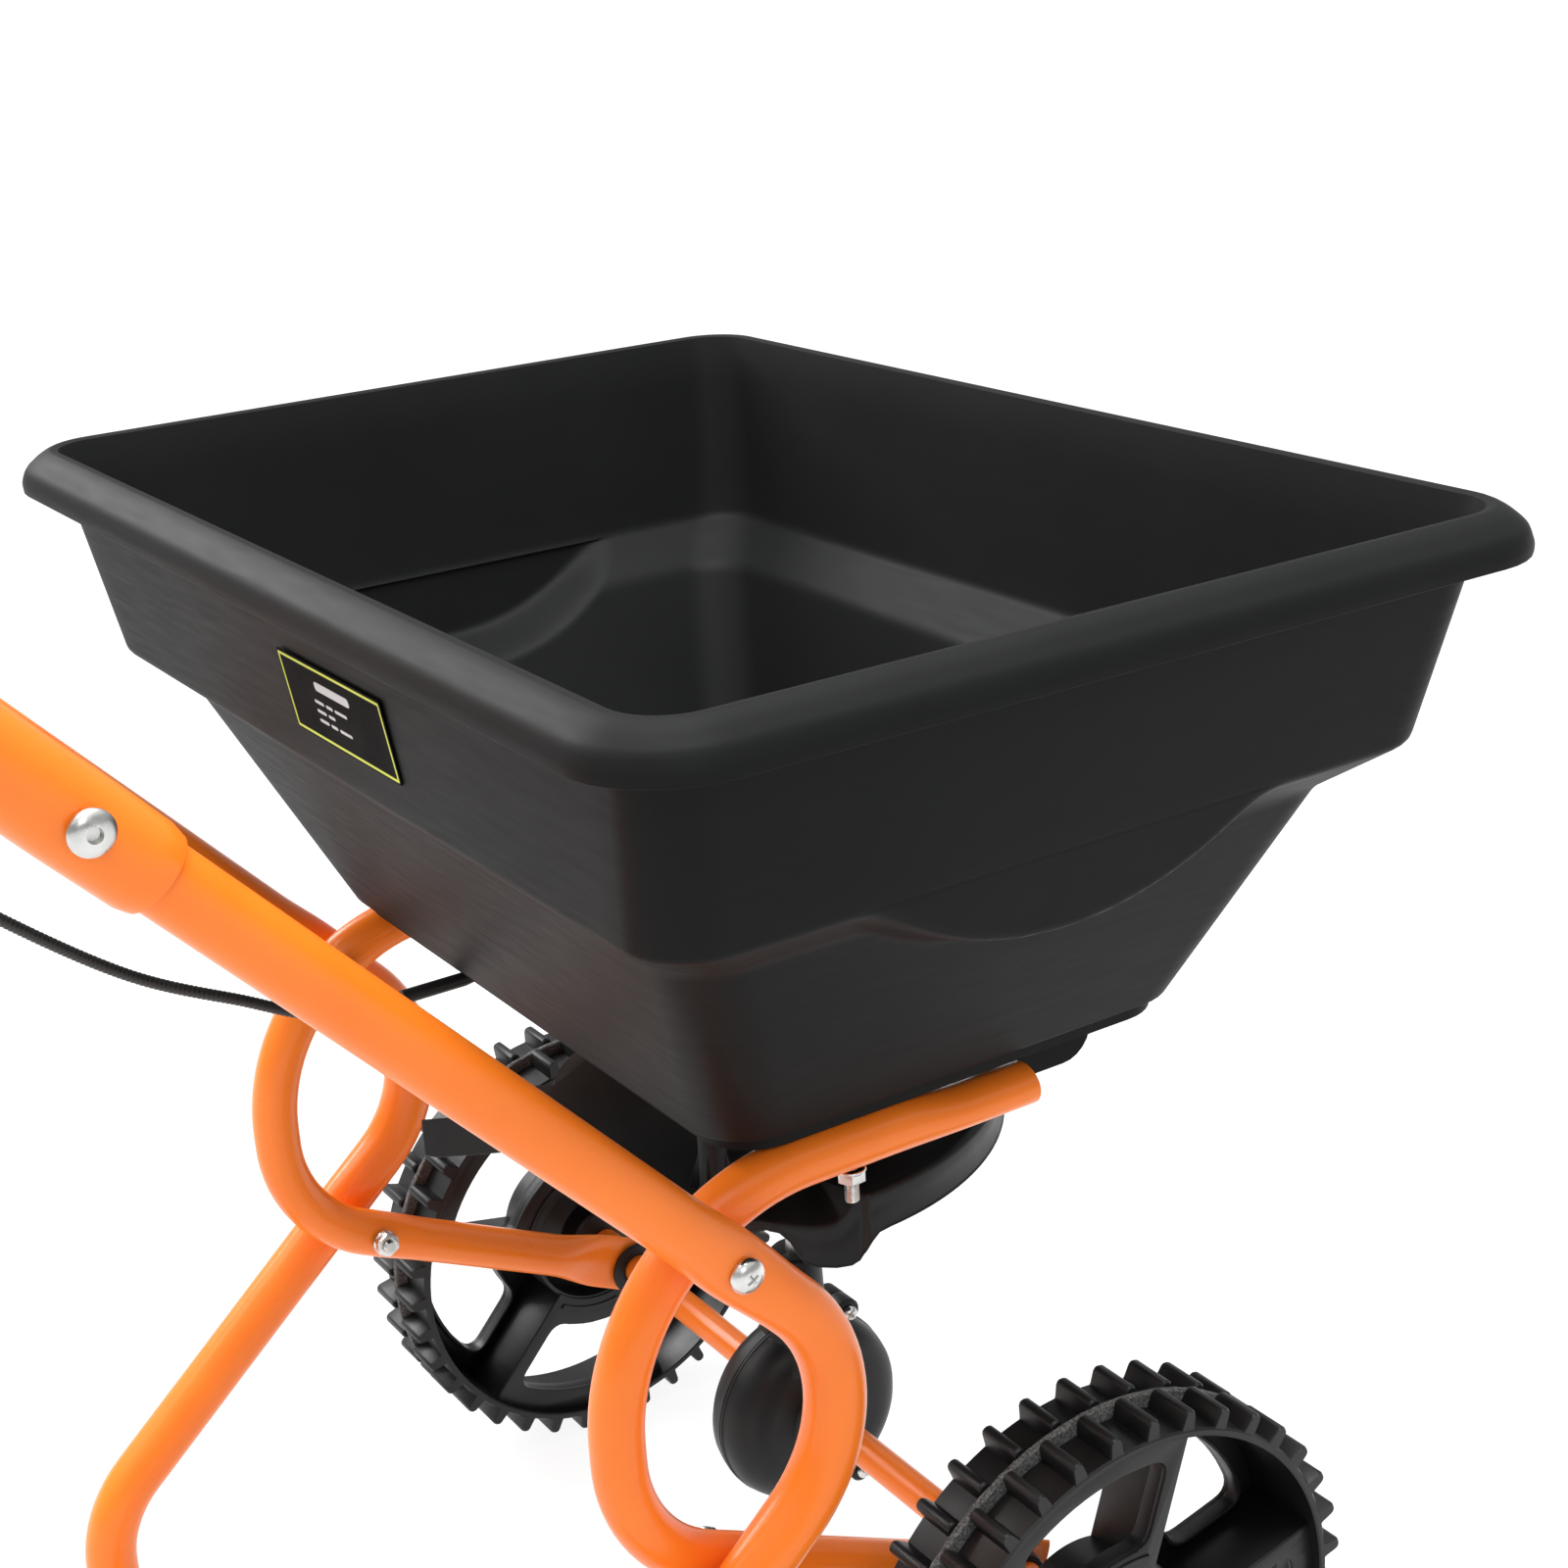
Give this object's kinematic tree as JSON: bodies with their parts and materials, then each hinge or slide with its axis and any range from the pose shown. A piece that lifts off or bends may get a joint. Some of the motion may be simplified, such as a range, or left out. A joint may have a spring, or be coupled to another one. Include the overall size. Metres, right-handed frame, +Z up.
{
  "type": "garden spreader",
  "caption": "Walk-behind broadcast spreader: deep plastic hopper on a bent tube frame, ground-driven impeller, cleated wheels and a cable-worked shut-off lever.",
  "frame": {"origin": "on the ground, at the middle of the spreader's footprint", "axes": "+Y is the direction of travel, +X is the operator's right, +Z is up"},
  "size_m": [0.5912, 0.9617, 1.0173],
  "materials": {
    "orange_paint": "gloss powder coat",
    "hopper_plastic": "fine-grained charcoal moulding",
    "wheel_plastic": "satin moulding",
    "shroud_plastic": "satin moulding",
    "zinc": "bright zinc plate",
    "steel": "drawn",
    "grip_rubber": "matt",
    "cable_sheath": "ribbed sheath",
    "label_face": "printed plate with no lettering",
    "nylon": "natural nylon"
  },
  "bodies": {
    "frame": {"hopper": "hopper_plastic", "rating_plate": "label_face", "right_support_tube": "orange_paint", "left_support_tube": "orange_paint", "right_frame_tube": "orange_paint", "left_frame_tube": "orange_paint", "upper_handle": "orange_paint", "handle_brace": "orange_paint", "right_grip": "grip_rubber", "left_grip": "grip_rubber", "stand_crossbar": "orange_paint", "right_foot_cap": "grip_rubber", "left_foot_cap": "grip_rubber", "right_upper_cross_bolt": "zinc", "right_upper_cross_nut": "zinc", "right_lower_cross_bolt": "zinc", "right_lower_cross_nut": "zinc", "left_upper_cross_bolt": "zinc", "left_upper_cross_nut": "zinc", "left_lower_cross_bolt": "zinc", "left_lower_cross_nut": "zinc", "right_sleeve_bolt": "zinc", "left_sleeve_bolt": "zinc", "right_hopper_stud": "zinc", "right_hopper_nut": "zinc", "left_hopper_stud": "zinc", "left_hopper_nut": "zinc", "right_axle_bushing": "shroud_plastic", "left_axle_bushing": "shroud_plastic", "gearbox_right_shell": "shroud_plastic", "gearbox_left_shell": "shroud_plastic", "gearbox_upper_screw": "zinc", "gearbox_lower_screw": "zinc", "outlet_plate": "shroud_plastic", "spinner_shroud": "shroud_plastic", "right_front_clip": "hopper_plastic", "left_front_clip": "hopper_plastic", "gauge_plate": "shroud_plastic", "lever_pivot_bolt": "zinc", "control_cable": "cable_sheath", "cable_ferrule": "cable_sheath"},
    "drive_axle": {"axle": "orange_paint", "right_wheel": "wheel_plastic", "bevel_gear": "nylon", "right_cotter_pin": "zinc", "left_cotter_pin": "zinc"},
    "free_wheel": {"left_wheel": "wheel_plastic"},
    "spinner": {"drive_shaft": "steel", "pinion": "nylon", "impeller": "shroud_plastic", "agitator": "steel"},
    "lever": {"control_lever": "zinc", "lever_grip": "grip_rubber"},
    "shutter": {"shutoff_plate": "zinc", "pull_wire": "steel"},
    "stop": {"flow_stop": "zinc", "stop_knob": "grip_rubber"}
  },
  "joints": [
    {"name": "axle_spin", "type": "hinge", "parent": "frame", "child": "drive_axle", "pos_m": [0, 0.3009, 0.117], "axis": [1, 0, 0], "continuous": true},
    {"name": "free_wheel_spin", "type": "hinge", "parent": "frame", "child": "free_wheel", "pos_m": [0, 0.3009, 0.117], "axis": [1, 0, 0], "continuous": true},
    {"name": "spinner_spin", "type": "hinge", "parent": "frame", "child": "spinner", "pos_m": [0, 0.3009, 0.278], "axis": [0, 0, 1], "continuous": true},
    {"name": "lever_pull", "type": "hinge", "parent": "frame", "child": "lever", "pos_m": [0, -0.32428, 0.90934], "axis": [1, 0, 0], "range_deg": [0, 51.57]},
    {"name": "shutter_slide", "type": "slide", "parent": "frame", "child": "shutter", "axis": [0, -1, 0], "range_m": [0, 0.0402]},
    {"name": "stop_set", "type": "hinge", "parent": "frame", "child": "stop", "pos_m": [0, -0.32428, 0.90934], "axis": [1, 0, 0], "range_deg": [0, 18.9]}
  ],
  "couplings": [
    {"joint": "spinner_spin", "follows": "axle_spin", "ratio": 4.2222},
    {"joint": "shutter_slide", "follows": "lever_pull", "m_per_rad": 0.044444}
  ]
}
